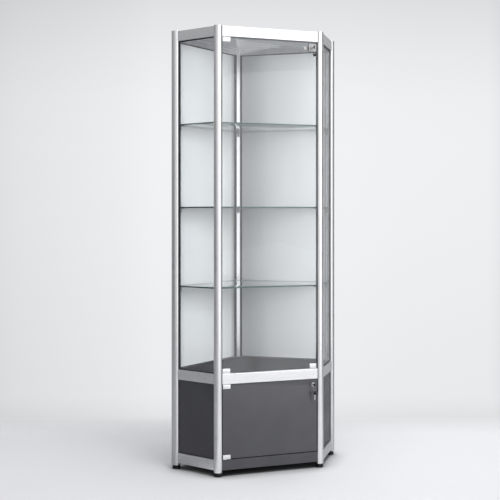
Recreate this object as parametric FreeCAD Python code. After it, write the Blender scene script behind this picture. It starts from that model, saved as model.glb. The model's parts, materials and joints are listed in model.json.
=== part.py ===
import FreeCAD, Part
import math
import os

# Corner display cabinet: five-sided plan, aluminium posts and rails, glazed above, cupboard below.
# All sizes in millimetres, +Z up, the doors look along -Y, the back corner points along +Y.
# The origin is on the floor, at the centre of the box round the whole cabinet.

# ---- overall size ----
HEIGHT = 1980.0            # floor to top of posts
FRONT_LENGTH = 500.0       # plan length across the doors, corner to corner
RETURN_LENGTH = 258.0      # short glazed side at each end of the front
FRONT_ANGLE = 125.0        # inside angle at the two front corners, degrees
SIDE_ANGLE = 90.0          # inside angle where the short sides meet the back sides
FOOT_HEIGHT = 18.0         # floor to underside of posts

# ---- levels ----
RAIL_HEIGHT = 45.0
POST_RISE = 3.0            # posts above the top rails
BASE_RAIL_Z = 28.0         # underside of bottom rails and plinth board
MID_RAIL_Z = 405.0         # underside of middle rails
SHELF_LEVELS = {"shelf_lower": 822.0, "shelf_middle": 1179.0, "shelf_upper": 1553.0}

# ---- extrusions ----
RAIL_DEPTH = 22.0
WALL = 2.0                 # extrusion wall
RAIL_CHAMFER = 1.0
GROOVE_WIDTH = 8.0         # panel groove, centred in the rail depth
GROOVE_DEPTH = 6.0
POST_AXIS = 19.0           # corner to the centre of a post's rounded outer face, over its foot
NOSE_SETBACK = 2.0         # post edge behind the rail face
POST_FACE = 10.0           # post edge to the line where the inner faces of its two rails would meet
LEDGE_WIDTH = 9.0
LEDGE_THICKNESS = 2.5
ACCESS_RADIUS = 3.5        # hole over each tension lock
ACCESS_INSET = 18.0
LOCK_BLOCK = (30.0, 16.0)  # tension lock length and height inside the rail
LOCK_TONGUE = (5.0, 10.0)  # its tongue's length and height inside the post groove
TONGUE_CLEARANCE = 0.3

# ---- infill ----
GLASS = 5.0
PANEL_BITE = 5.0           # how far a pane or panel enters its groove
GASKET_LIP = 4.0           # gasket seen round each pane
BOARD = 16.0               # deck, cupboard floor and cupboard door
CEILING = 4.0
CEILING_LEDGE = 31.0       # ledge top above the underside of the top rail
PLINTH_SETBACK = 2.0
BOARD_GAP = 0.5
SHELF_GLASS = 6.0
SHELF_SIDE_SETBACK = 17.0
SHELF_FRONT_SETBACK = 32.0
SHELF_POST_GAP = 3.0
CLIP = {"width": 12.0, "reach": 16.0, "drop": 22.0, "plate": 3.0, "peg_radius": 2.0, "peg_length": 5.0}
PEG_CLEARANCE = 0.1

# ---- feet ----
FOOT_RADIUS = 18.5
FOOT_NECK_RADIUS = 16.0
FOOT_COLLAR_RADIUS = 17.5
FOOT_BASE = 9.0
FOOT_NECK = 3.0
FOOT_TOP_GAP = 0.2
STEM_RADIUS = 4.0
STEM_LENGTH = 45.0
RUNNING_CLEARANCE = 0.05
PLUG_LENGTH = 14.0

# ---- doors ----
HINGE_GAP = 4.0
LATCH_GAP = 5.0
DOOR_END_GAP = 4.0
PIVOT_INSET = 14.0         # door edge to pivot axis
PIVOT_RADIUS = 3.0
PIVOT_ENGAGEMENT = 8.0
BUSH_RADIUS = 5.0
BUSH_FLANGE = (7.0, 1.3)
BUSH_LENGTH = 10.0
PATCH = {"width": 35.0, "height": 17.0, "bar": 2.0, "inset": 1.0}
GLASS_PATCH_PLATE = 2.5
BOARD_PATCH_PLATE = 1.5
CATCH = {"width": 31.0, "height": 19.0, "gap": 0.6}
MAGNET_HEIGHT = 14.0
SEAL_BEAD = 0.5

# ---- locks and keys ----
LOCK_INSET = 19.0          # door edge to lock axis
LOCK_DROP = 22.0           # door top to lock axis
LOCK_HOLE = 9.0
CASE_RADIUS = 8.6
CASE_END = 25.4
GLASS_LOCK_PLATE = (36.0, 32.0, 2.5)
ROSE = (10.5, 1.5)
NUT = (12.0, 3.0)
BARREL_RADIUS = 6.2
BARREL_RIM = (7.3, 1.0)
RIM_CLEARANCE = 0.2
CAM = {"length": 36.0, "width": 12.0, "thickness": 2.5, "start": 26.2}
KEYWAY = (2.3, 6.9, 17.6)
BLADE = (1.9, 6.5, 23.0)
BLADE_SHOWING = 6.0
BOW = {"length": 19.6, "width": 12.5, "thickness": 2.2, "corner": 5.0, "hole": 3.8, "hole_inset": 5.4}
RING_RADIUS = 13.5
RING_WIRE = 0.7
RING_TURN = 45.0           # ring plane about the vertical, halfway between the two keys
HANG_DROP = 0.9            # hole centre to wire centre where something hangs

# ---- derived ----
BACK_ANGLE = 540.0 - 2 * (FRONT_ANGLE + SIDE_ANGLE)
RETURN_HEADING = 180.0 - FRONT_ANGLE
BACK_HEADING = RETURN_HEADING + 180.0 - SIDE_ANGLE
SIDE_X = FRONT_LENGTH / 2 + RETURN_LENGTH * math.cos(math.radians(RETURN_HEADING))
SIDE_Y = RETURN_LENGTH * math.sin(math.radians(RETURN_HEADING))
BACK_LENGTH = -SIDE_X / math.cos(math.radians(BACK_HEADING))
BACK_Y = SIDE_Y + BACK_LENGTH * math.sin(math.radians(BACK_HEADING))
BACK_HALF = math.radians(BACK_ANGLE / 2)
FRONT_FLANK = POST_FACE + RAIL_DEPTH / math.tan(math.radians(FRONT_ANGLE / 2))
SIDE_FLANK = POST_FACE + RAIL_DEPTH / math.tan(math.radians(SIDE_ANGLE / 2))
BACK_FLANK = POST_FACE + RAIL_DEPTH / math.tan(BACK_HALF)
TOP_RAIL_Z = HEIGHT - POST_RISE - RAIL_HEIGHT
MID_Y = RAIL_DEPTH / 2
GROOVE_NEAR = MID_Y - GROOVE_WIDTH / 2
GROOVE_FAR = MID_Y + GROOVE_WIDTH / 2
BOARD_LEDGE = RAIL_HEIGHT - BOARD
CASE_OPENING = (MID_RAIL_Z + RAIL_HEIGHT, TOP_RAIL_Z)
CUPBOARD_OPENING = (BASE_RAIL_Z + RAIL_HEIGHT, MID_RAIL_Z)
DOOR_SPAN = (FRONT_FLANK + HINGE_GAP, FRONT_LENGTH - FRONT_FLANK - LATCH_GAP)
PIVOT_X = DOOR_SPAN[0] + PIVOT_INSET
LOCK_X = DOOR_SPAN[1] - LOCK_INSET
GLASS_FACE = MID_Y - GLASS / 2 - GLASS_LOCK_PLATE[2]
BOARD_FACE = MID_Y - BOARD / 2 - ROSE[1]
BOW_HOLE = BOW["length"] - BOW["hole_inset"]
KEY_REACH = RIM_CLEARANCE + BARREL_RIM[1] + BLADE_SHOWING + BOW_HOLE
RING_REACH = RING_RADIUS * math.sin(math.radians(RING_TURN)) + RING_WIRE
FRONT_EXTENT = BOARD_FACE - KEY_REACH - RING_REACH
BACK_NOSE = math.hypot(BACK_FLANK - POST_AXIS * math.cos(BACK_HALF), POST_AXIS * math.sin(BACK_HALF) - NOSE_SETBACK)
BACK_EXTENT = BACK_Y - POST_AXIS + BACK_NOSE
CENTRE_Y = (FRONT_EXTENT + BACK_EXTENT) / 2

V = FreeCAD.Vector
UP = V(0, 0, 1)
INWARD = V(0, 1, 0)

# Plan corners anticlockwise from above, each with its interior half angle and the side that starts there.
CORNERS = {
    "front_left": (-FRONT_LENGTH / 2, 0.0, FRONT_ANGLE / 2, "front"),
    "front_right": (FRONT_LENGTH / 2, 0.0, FRONT_ANGLE / 2, "right"),
    "side_right": (SIDE_X, SIDE_Y, SIDE_ANGLE / 2, "back_right"),
    "back": (0.0, BACK_Y, BACK_ANGLE / 2, "back_left"),
    "side_left": (-SIDE_X, SIDE_Y, SIDE_ANGLE / 2, "left"),
}
# Each side: heading in degrees, then rail start and rail end measured from its first corner.
SIDES = {
    "front": (0.0, FRONT_FLANK, FRONT_LENGTH - FRONT_FLANK),
    "right": (RETURN_HEADING, FRONT_FLANK, RETURN_LENGTH - SIDE_FLANK),
    "back_right": (BACK_HEADING, SIDE_FLANK, BACK_LENGTH - BACK_FLANK),
    "back_left": (-BACK_HEADING, BACK_FLANK, BACK_LENGTH - SIDE_FLANK),
    "left": (-RETURN_HEADING, SIDE_FLANK, RETURN_LENGTH - FRONT_FLANK),
}
GLAZED = ("right", "back_right", "back_left", "left")


def box(x, y, z):
    """Block from three (low, high) ranges."""
    return Part.makeBox(x[1] - x[0], y[1] - y[0], z[1] - z[0], V(x[0], y[0], z[0]))


def rod(radius, start, direction, length):
    """Cylinder from a start point along a direction."""
    return Part.makeCylinder(radius, length, start, direction)


def corner_frame(corner):
    """Local frame at a plan corner: x along the side that starts there, y into the cabinet."""
    x, y, _, side = CORNERS[corner]
    return FreeCAD.Placement(V(x, y - CENTRE_Y, 0), FreeCAD.Rotation(UP, SIDES[side][0]))


def side_frame(side):
    """Local frame of a plan side: x along it from its first corner, y into the cabinet."""
    first = next(corner for corner, data in CORNERS.items() if data[3] == side)
    return corner_frame(first)


def placed(shape, frame):
    """Shape moved from a local frame into the cabinet."""
    moved = shape.copy()
    moved.Placement = frame.multiply(moved.Placement)
    return moved


def bisector(corner):
    """Unit vector from a corner into the cabinet, halfway between its two sides."""
    half = math.radians(CORNERS[corner][2])
    return V(math.cos(half), math.sin(half), 0)


def mirrored(point, axis):
    """Plan point reflected across a line through the corner."""
    return axis * (2 * point.dot(axis)) - point


def flank(corner):
    """Distance from a corner to the end of the rails that meet its post."""
    return SIDES[CORNERS[corner][3]][1]


def inner_face(corner):
    """Distance from a corner to its post's inner face along the bisector."""
    return V(flank(corner), RAIL_DEPTH, 0).dot(bisector(corner))


def post_outline(corner, inset):
    """Face of the post section without its grooves, shrunk by inset or grown by a negative one."""
    axis = bisector(corner)
    centre = axis * POST_AXIS
    radius = (V(flank(corner), NOSE_SETBACK, 0) - centre).Length - inset
    x = flank(corner) - inset
    near = V(x, centre.y - math.sqrt(radius ** 2 - (x - centre.x) ** 2), 0)
    far = V(x, (inner_face(corner) - inset - x * axis.x) / axis.y, 0)
    nose = Part.Arc(mirrored(near, axis), centre - axis * radius, near).toShape()
    points = [near, far, mirrored(far, axis), mirrored(near, axis)]
    straight = [Part.makeLine(a, b) for a, b in zip(points, points[1:])]
    return Part.Face(Part.Wire([nose] + straight))


def groove_blocks(corner, margin, low, high):
    """The two panel grooves of a post, grown by a margin, as blocks between two levels."""
    x = flank(corner)
    block = box((x - GROOVE_DEPTH - margin, x + WALL), (GROOVE_NEAR - margin, GROOVE_FAR + margin), (low, high))
    axis = bisector(corner)
    other = block.mirror(V(0, 0, 0), V(-axis.y, axis.x, 0))
    return block.fuse(other)


def chamber(corner, low, high):
    """Hollow of a post between two levels."""
    face = post_outline(corner, WALL)
    face.translate(V(0, 0, low))
    return face.extrude(V(0, 0, high - low)).cut(groove_blocks(corner, WALL, low, high))


def post(corner):
    """Hollow post with a rounded outer face, two panel grooves and a peg hole at every shelf."""
    face = post_outline(corner, 0.0)
    face.translate(V(0, 0, FOOT_HEIGHT))
    solid = face.extrude(V(0, 0, HEIGHT - FOOT_HEIGHT))
    solid = solid.cut(groove_blocks(corner, 0.0, FOOT_HEIGHT - 1, HEIGHT + 1))
    solid = solid.cut(chamber(corner, FOOT_HEIGHT, HEIGHT))
    axis = bisector(corner)
    for level in SHELF_LEVELS.values():
        start = axis * inner_face(corner) + V(0, 0, level - CLIP["drop"] / 2)
        solid = solid.cut(rod(CLIP["peg_radius"] + PEG_CLEARANCE, start, -axis, 2 * WALL))
    return solid


def plug(corner, low):
    """Insert in the end of a post, with the thread for a foot."""
    start = bisector(corner) * POST_AXIS + V(0, 0, low)
    bore = rod(STEM_RADIUS + RUNNING_CLEARANCE, start, UP, PLUG_LENGTH)
    return chamber(corner, low, low + PLUG_LENGTH).cut(bore)


def foot(corner):
    """Levelling foot: round pad, neck, collar and threaded stem."""
    axis = bisector(corner) * POST_AXIS
    collar_low = FOOT_BASE + FOOT_NECK
    collar_high = FOOT_HEIGHT - FOOT_TOP_GAP
    pad = rod(FOOT_RADIUS, axis, UP, FOOT_BASE)
    rims = [edge for edge in pad.Edges if edge.Closed and edge.CenterOfMass.z > FOOT_BASE - 1]
    pad = pad.makeFillet(2.0, rims)
    neck = rod(FOOT_NECK_RADIUS, axis + V(0, 0, FOOT_BASE), UP, FOOT_NECK)
    collar = rod(FOOT_COLLAR_RADIUS, axis + V(0, 0, collar_low), UP, collar_high - collar_low)
    stem = rod(STEM_RADIUS, axis + V(0, 0, collar_high), UP, STEM_LENGTH)
    return pad.fuse([neck, collar, stem]).removeSplitter()


def rail_section(x, z, low_groove, high_groove, ledge):
    """Rail section at one end: chamfered outer edges, panel grooves and an inner ledge."""
    points = [(0, RAIL_CHAMFER), (0, RAIL_HEIGHT - RAIL_CHAMFER), (RAIL_CHAMFER, RAIL_HEIGHT)]
    if high_groove:
        bed = RAIL_HEIGHT - GROOVE_DEPTH
        points += [(GROOVE_NEAR, RAIL_HEIGHT), (GROOVE_NEAR, bed), (GROOVE_FAR, bed), (GROOVE_FAR, RAIL_HEIGHT)]
    points += [(RAIL_DEPTH, RAIL_HEIGHT), (RAIL_DEPTH, ledge), (RAIL_DEPTH + LEDGE_WIDTH, ledge)]
    points += [(RAIL_DEPTH + LEDGE_WIDTH, ledge - LEDGE_THICKNESS), (RAIL_DEPTH, ledge - LEDGE_THICKNESS)]
    points.append((RAIL_DEPTH, 0))
    if low_groove:
        points += [(GROOVE_FAR, 0), (GROOVE_FAR, GROOVE_DEPTH), (GROOVE_NEAR, GROOVE_DEPTH), (GROOVE_NEAR, 0)]
    points.append((RAIL_CHAMFER, 0))
    loop = [V(x, y, z + up) for y, up in points]
    return Part.Face(Part.makePolygon(loop + loop[:1]))


def rail(side, z, low_groove, high_groove, ledge):
    """Hollow rail between two posts, with an access hole over the tension lock at each end."""
    _, start, end = SIDES[side]
    solid = rail_section(start, z, low_groove, high_groove, ledge).extrude(V(end - start, 0, 0))
    low = z + WALL + (GROOVE_DEPTH if low_groove else 0.0)
    high = z + RAIL_HEIGHT - WALL - (GROOVE_DEPTH if high_groove else 0.0)
    solid = solid.cut(box((start, end), (WALL, RAIL_DEPTH - WALL), (low, high)))
    for x in (start + ACCESS_INSET, end - ACCESS_INSET):
        centre = V(x, RAIL_DEPTH - WALL, z + RAIL_HEIGHT / 2)
        solid = solid.cut(rod(ACCESS_RADIUS, centre, INWARD, WALL))
    return solid


def tension_locks(side, z):
    """The two locks that draw a rail against its posts."""
    _, start, end = SIDES[side]
    centre = z + RAIL_HEIGHT / 2
    block_z = (centre - LOCK_BLOCK[1] / 2, centre + LOCK_BLOCK[1] / 2)
    tongue_z = (centre - LOCK_TONGUE[1] / 2, centre + LOCK_TONGUE[1] / 2)
    tongue_y = (GROOVE_NEAR + TONGUE_CLEARANCE, GROOVE_FAR - TONGUE_CLEARANCE)
    locks = []
    for edge, way in ((start, 1), (end, -1)):
        block = box(sorted((edge, edge + way * LOCK_BLOCK[0])), (WALL, RAIL_DEPTH - WALL), block_z)
        tongue = box(sorted((edge, edge - way * LOCK_TONGUE[0])), tongue_y, tongue_z)
        locks.append(block.fuse(tongue).removeSplitter())
    return locks


def infill(side, opening):
    """Pane or panel of one side, entering the grooves all round."""
    _, start, end = SIDES[side]
    x = (start - PANEL_BITE, end + PANEL_BITE)
    y = (MID_Y - GLASS / 2, MID_Y + GLASS / 2)
    return box(x, y, (opening[0] - PANEL_BITE, opening[1] + PANEL_BITE))


def gasket(side, opening):
    """Black channel round the edge of one pane or panel."""
    _, start, end = SIDES[side]
    y = (GROOVE_NEAR, GROOVE_FAR)
    outer = box((start - GROOVE_DEPTH, end + GROOVE_DEPTH), y, (opening[0] - GROOVE_DEPTH, opening[1] + GROOVE_DEPTH))
    window = box((start + GASKET_LIP, end - GASKET_LIP), y, (opening[0] + GASKET_LIP, opening[1] - GASKET_LIP))
    return outer.cut([window, infill(side, opening)])


def door_seals(opening):
    """Strips that close the door-side grooves of the two front posts."""
    y = (GROOVE_NEAR, GROOVE_FAR)
    left = (FRONT_FLANK - GROOVE_DEPTH, FRONT_FLANK + SEAL_BEAD)
    right = (FRONT_LENGTH - left[1], FRONT_LENGTH - left[0])
    return [placed(box(x, y, opening), side_frame("front")) for x in (left, right)]


def plate(setbacks, post_gap, z, thickness):
    """Horizontal five-sided plate set back from each side and cut clear of the posts."""
    names = list(SIDES)
    points = []
    for before, after in zip(names[-1:] + names[:-1], names):
        turn = math.radians(SIDES[after][0] - SIDES[before][0])
        slide = (setbacks[before] - setbacks[after] * math.cos(turn)) / math.sin(turn)
        points.append(side_frame(after).multVec(V(slide, setbacks[after], z)))
    solid = Part.Face(Part.makePolygon(points + points[:1])).extrude(V(0, 0, thickness))
    for corner in CORNERS:
        clear = post_outline(corner, -post_gap)
        clear.translate(V(0, 0, z))
        solid = solid.cut(placed(clear.extrude(V(0, 0, thickness)), corner_frame(corner)))
    return solid


def shelf_clip(corner, level):
    """Bracket pegged to a post's inner face, with a tab under the shelf's corner."""
    half = CLIP["width"] / 2
    low = level - CLIP["drop"]
    back = box((0, CLIP["plate"]), (-half, half), (low, level))
    tab = box((0, CLIP["reach"]), (-half, half), (level - CLIP["plate"], level))
    peg = rod(CLIP["peg_radius"], V(0, 0, level - CLIP["drop"] / 2), V(-1, 0, 0), CLIP["peg_length"])
    turn = FreeCAD.Placement(bisector(corner) * inner_face(corner), FreeCAD.Rotation(UP, CORNERS[corner][2]))
    return placed(placed(back.fuse([tab, peg]).removeSplitter(), turn), corner_frame(corner))


def bush(level, way):
    """Flanged pivot bush let into a rail at a level, with its flange on the side the way points to."""
    centre = V(PIVOT_X, MID_Y, level)
    sleeve = rod(BUSH_RADIUS, centre, UP * -way, BUSH_LENGTH)
    flange = rod(BUSH_FLANGE[0], centre, UP * way, BUSH_FLANGE[1])
    bore = rod(PIVOT_RADIUS + RUNNING_CLEARANCE, V(PIVOT_X, MID_Y, level - BUSH_LENGTH), UP, 2 * BUSH_LENGTH)
    return placed(sleeve.fuse(flange).removeSplitter().cut(bore), side_frame("front"))


def edge_clamp(x, thickness, cover, height, edge, way):
    """Metal channel over a door's top (way 1) or bottom (way -1) edge."""
    half = thickness / 2
    z = sorted((edge - way * height, edge + way * PATCH["bar"]))
    slot = sorted((edge - way * height, edge))
    return box(x, (MID_Y - half - cover, MID_Y + half + cover), z).cut(box(x, (MID_Y - half, MID_Y + half), slot))


def pivots(thickness, cover, opening):
    """Top and bottom corner patches of a door, each with the pin it turns on."""
    x = (DOOR_SPAN[0] + PATCH["inset"], DOOR_SPAN[0] + PATCH["inset"] + PATCH["width"])
    patches = []
    for level, way in ((opening[0], -1), (opening[1], 1)):
        edge = level - way * DOOR_END_GAP
        start = V(PIVOT_X, MID_Y, edge + way * PATCH["bar"])
        pin = rod(PIVOT_RADIUS, start, UP * way, DOOR_END_GAP - PATCH["bar"] + PIVOT_ENGAGEMENT)
        clamp = edge_clamp(x, thickness, cover, PATCH["height"], edge, way)
        patches.append(placed(clamp.fuse(pin).removeSplitter(), side_frame("front")))
    return patches


def door(thickness, opening):
    """Door leaf with the hole for its lock."""
    z = (opening[0] + DOOR_END_GAP, opening[1] - DOOR_END_GAP)
    leaf = box(DOOR_SPAN, (MID_Y - thickness / 2, MID_Y + thickness / 2), z)
    hole = rod(LOCK_HOLE, V(LOCK_X, MID_Y - thickness / 2, lock_level(opening)), INWARD, thickness)
    return placed(leaf.cut(hole), side_frame("front"))


def lock_level(opening):
    """Height of the lock axis in a door."""
    return opening[1] - DOOR_END_GAP - LOCK_DROP


def lock_case(front, cover, thickness, level):
    """Lock case: its front cover, the tube through the door and the nut behind."""
    back = MID_Y + thickness / 2
    axis = V(LOCK_X, front, level)
    bore = rod(BARREL_RADIUS + RUNNING_CLEARANCE, axis, INWARD, CASE_END - front)
    tube = cover.fuse(rod(CASE_RADIUS, axis, INWARD, CASE_END - front)).removeSplitter().cut(bore)
    corners = [V(LOCK_X + NUT[0] * math.cos(k * math.pi / 3), back, level + NUT[0] * math.sin(k * math.pi / 3))
               for k in range(6)]
    nut = Part.Face(Part.makePolygon(corners + corners[:1])).extrude(INWARD * NUT[1])
    nut = nut.cut(rod(CASE_RADIUS, V(LOCK_X, back, level), INWARD, NUT[1]))
    return [placed(tube, side_frame("front")), placed(nut, side_frame("front"))]


def lock_barrel(front, level):
    """Turning barrel with its rim and keyway, and the cam on its inner end pointing to the hinge side."""
    face = front - RIM_CLEARANCE - BARREL_RIM[1]
    barrel = rod(BARREL_RADIUS, V(LOCK_X, face, level), INWARD, CAM["start"] - face)
    barrel = barrel.fuse(rod(BARREL_RIM[0], V(LOCK_X, face, level), INWARD, BARREL_RIM[1])).removeSplitter()
    x = (LOCK_X - KEYWAY[0] / 2, LOCK_X + KEYWAY[0] / 2)
    barrel = barrel.cut(box(x, (face, face + KEYWAY[2]), (level - KEYWAY[1] / 2, level + KEYWAY[1] / 2)))
    cam_y = (CAM["start"], CAM["start"] + CAM["thickness"])
    arm = box((LOCK_X - CAM["length"], LOCK_X), cam_y, (level - CAM["width"] / 2, level + CAM["width"] / 2))
    hub = rod(CASE_RADIUS, V(LOCK_X, CAM["start"], level), INWARD, CAM["thickness"])
    cam = arm.fuse(hub).removeSplitter()
    return [placed(barrel, side_frame("front")), placed(cam, side_frame("front"))]


def key(frame):
    """Key with its blade along +y and its moulded bow behind the origin, holed for a ring."""
    half = BOW["width"] / 2
    bow = box((-BOW["thickness"] / 2, BOW["thickness"] / 2), (-BOW["length"], 0), (-half, half))
    bow = bow.makeFillet(BOW["corner"], [edge for edge in bow.Edges if edge.BoundBox.XLength > 1])
    bow = bow.cut(rod(BOW["hole"], V(-BOW["thickness"] / 2, -BOW_HOLE, 0), V(1, 0, 0), BOW["thickness"]))
    blade = box((-BLADE[0] / 2, BLADE[0] / 2), (0, BLADE[2]), (-BLADE[1] / 2, BLADE[1] / 2))
    return [placed(bow, frame), placed(blade, frame)]


def key_set(name, front, level):
    """Key in a lock, the ring hanging from its bow and the spare key hanging from the ring."""
    frame = side_frame("front")
    root = V(LOCK_X, front - KEY_REACH + BOW_HOLE, level)
    export(name + "_key", key(frame.multiply(FreeCAD.Placement(root, FreeCAD.Rotation()))))
    hole = root - INWARD * BOW_HOLE
    centre = hole - UP * (HANG_DROP + RING_RADIUS)
    turn = math.radians(RING_TURN)
    ring = Part.makeTorus(RING_RADIUS, RING_WIRE, centre, V(math.sin(turn), -math.cos(turn), 0))
    export(name + "_key_ring", [placed(ring, frame)])
    spare_hole = centre - UP * (RING_RADIUS + HANG_DROP)
    spin = FreeCAD.Rotation(V(1, 0, 0), -90).multiply(FreeCAD.Rotation(INWARD, 90))
    export(name + "_spare_key", key(frame.multiply(FreeCAD.Placement(spare_hole - UP * BOW_HOLE, spin))))


def export(name, solids):
    """Write one node, a single solid or a group of separate ones."""
    shape = solids[0] if len(solids) == 1 else Part.makeCompound(solids)
    shape.exportStep("parts/" + name + ".step")


def build_frame():
    """Posts with their plugs and feet, rails with their tension locks, and the plinth board."""
    plugs = []
    locks = []
    for corner in CORNERS:
        frame = corner_frame(corner)
        export("post_" + corner, [placed(post(corner), frame)])
        export("foot_" + corner, [placed(foot(corner), frame)])
        plugs += [placed(plug(corner, low), frame) for low in (FOOT_HEIGHT, HEIGHT - PLUG_LENGTH)]
    for side in SIDES:
        glazed = side in GLAZED
        frame = side_frame(side)
        top = rail(side, TOP_RAIL_Z, glazed, False, CEILING_LEDGE)
        middle = rail(side, MID_RAIL_Z, glazed, glazed, BOARD_LEDGE)
        levels = [TOP_RAIL_Z, MID_RAIL_Z]
        if glazed:
            levels.append(BASE_RAIL_Z)
            export("bottom_rail_" + side, [placed(rail(side, BASE_RAIL_Z, False, True, BOARD_LEDGE), frame)])
        else:
            sink = V(PIVOT_X, MID_Y, TOP_RAIL_Z)
            top = top.cut(rod(BUSH_RADIUS, sink, UP, WALL))
            for level in (MID_RAIL_Z, MID_RAIL_Z + RAIL_HEIGHT - WALL):
                middle = middle.cut(rod(BUSH_RADIUS, V(PIVOT_X, MID_Y, level), UP, WALL))
        export("top_rail_" + side, [placed(top, frame)])
        export("middle_rail_" + side, [placed(middle, frame)])
        locks += [placed(lock, frame) for z in levels for lock in tension_locks(side, z)]
    export("post_plugs", plugs)
    export("rail_locks", locks)
    build_plinth()


def build_plinth():
    """Board under the cupboard door, tongued into the grooves of the front posts."""
    z = (BASE_RAIL_Z, BASE_RAIL_Z + RAIL_HEIGHT)
    start, end = SIDES["front"][1:]
    board = box((start, end), (PLINTH_SETBACK, RAIL_DEPTH - PLINTH_SETBACK), z)
    tongue_y = (GROOVE_NEAR + TONGUE_CLEARANCE, GROOVE_FAR - TONGUE_CLEARANCE)
    board = board.fuse(box((start - LOCK_TONGUE[0], end + LOCK_TONGUE[0]), tongue_y, z)).removeSplitter()
    board = board.cut(rod(BUSH_RADIUS, V(PIVOT_X, MID_Y, z[1]), -UP, BUSH_LENGTH))
    export("plinth_board", [placed(board, side_frame("front"))])


def build_infill():
    """Panes, cupboard panels, gaskets, boards, shelves and shelf clips."""
    gaskets = door_seals(CASE_OPENING) + door_seals(CUPBOARD_OPENING)
    for side in GLAZED:
        frame = side_frame(side)
        export("glass_" + side, [placed(infill(side, CASE_OPENING), frame)])
        export("panel_" + side, [placed(infill(side, CUPBOARD_OPENING), frame)])
        gaskets += [placed(gasket(side, opening), frame) for opening in (CASE_OPENING, CUPBOARD_OPENING)]
    export("gaskets", gaskets)

    board_setbacks = {side: RAIL_DEPTH + BOARD_GAP for side in SIDES}
    floor_setbacks = dict(board_setbacks, front=RAIL_DEPTH - PLINTH_SETBACK)
    shelf_setbacks = dict.fromkeys(SIDES, SHELF_SIDE_SETBACK)
    shelf_setbacks["front"] = SHELF_FRONT_SETBACK
    export("ceiling_panel", [plate(board_setbacks, BOARD_GAP, TOP_RAIL_Z + CEILING_LEDGE, CEILING)])
    export("deck_panel", [plate(board_setbacks, BOARD_GAP, MID_RAIL_Z + BOARD_LEDGE, BOARD)])
    export("floor_panel", [plate(floor_setbacks, BOARD_GAP, BASE_RAIL_Z + BOARD_LEDGE, BOARD)])
    for name, level in SHELF_LEVELS.items():
        export(name, [plate(shelf_setbacks, SHELF_POST_GAP, level, SHELF_GLASS)])
    export("shelf_clips", [shelf_clip(corner, level) for level in SHELF_LEVELS.values() for corner in CORNERS])


def build_doors():
    """Both doors with their pivots, catch, locks, keys and key rings."""
    levels = [(CASE_OPENING[0], 1), (CASE_OPENING[1], -1), (CUPBOARD_OPENING[0], 1), (CUPBOARD_OPENING[1], -1)]
    export("pivot_bushes", [bush(level, way) for level, way in levels])
    export("glass_door", [door(GLASS, CASE_OPENING)])
    export("glass_door_pivots", pivots(GLASS, GLASS_PATCH_PLATE, CASE_OPENING))
    export("cupboard_door", [door(BOARD, CUPBOARD_OPENING)])
    export("cupboard_door_pivots", pivots(BOARD, BOARD_PATCH_PLATE, CUPBOARD_OPENING))

    frame = side_frame("front")
    x = (DOOR_SPAN[1] - PATCH["inset"] - CATCH["width"], DOOR_SPAN[1] - PATCH["inset"])
    edge = CASE_OPENING[0] + DOOR_END_GAP
    export("catch_plate", [placed(edge_clamp(x, GLASS, GLASS_PATCH_PLATE, CATCH["height"], edge, -1), frame)])
    magnet_y = (MID_Y + GLASS / 2 + GLASS_PATCH_PLATE + CATCH["gap"], RAIL_DEPTH)
    magnet_z = (CASE_OPENING[0], CASE_OPENING[0] + MAGNET_HEIGHT)
    export("catch_magnet", [placed(box(x, magnet_y, magnet_z), frame)])

    upper = lock_level(CASE_OPENING)
    lower = lock_level(CUPBOARD_OPENING)
    width, height, depth = GLASS_LOCK_PLATE
    plate_x = (LOCK_X - width / 2, LOCK_X + width / 2)
    cover = box(plate_x, (GLASS_FACE, GLASS_FACE + depth), (upper - height / 2, upper + height / 2))
    rose = rod(ROSE[0], V(LOCK_X, BOARD_FACE, lower), INWARD, ROSE[1])
    export("glass_door_lock_case", lock_case(GLASS_FACE, cover, GLASS, upper))
    export("cupboard_door_lock_case", lock_case(BOARD_FACE, rose, BOARD, lower))
    export("glass_door_lock_barrel", lock_barrel(GLASS_FACE, upper))
    export("cupboard_door_lock_barrel", lock_barrel(BOARD_FACE, lower))
    key_set("glass_door", GLASS_FACE, upper)
    key_set("cupboard_door", BOARD_FACE, lower)


os.makedirs("parts", exist_ok=True)
build_frame()
build_infill()
build_doors()
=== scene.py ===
"""Corner display cabinet: finishes, fine hardware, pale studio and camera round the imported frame."""
import json
import logging
import math
from dataclasses import dataclass, field
from enum import Enum
from typing import Callable, Sequence

import bmesh
import bpy
from mathutils import Matrix, Vector

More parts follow.
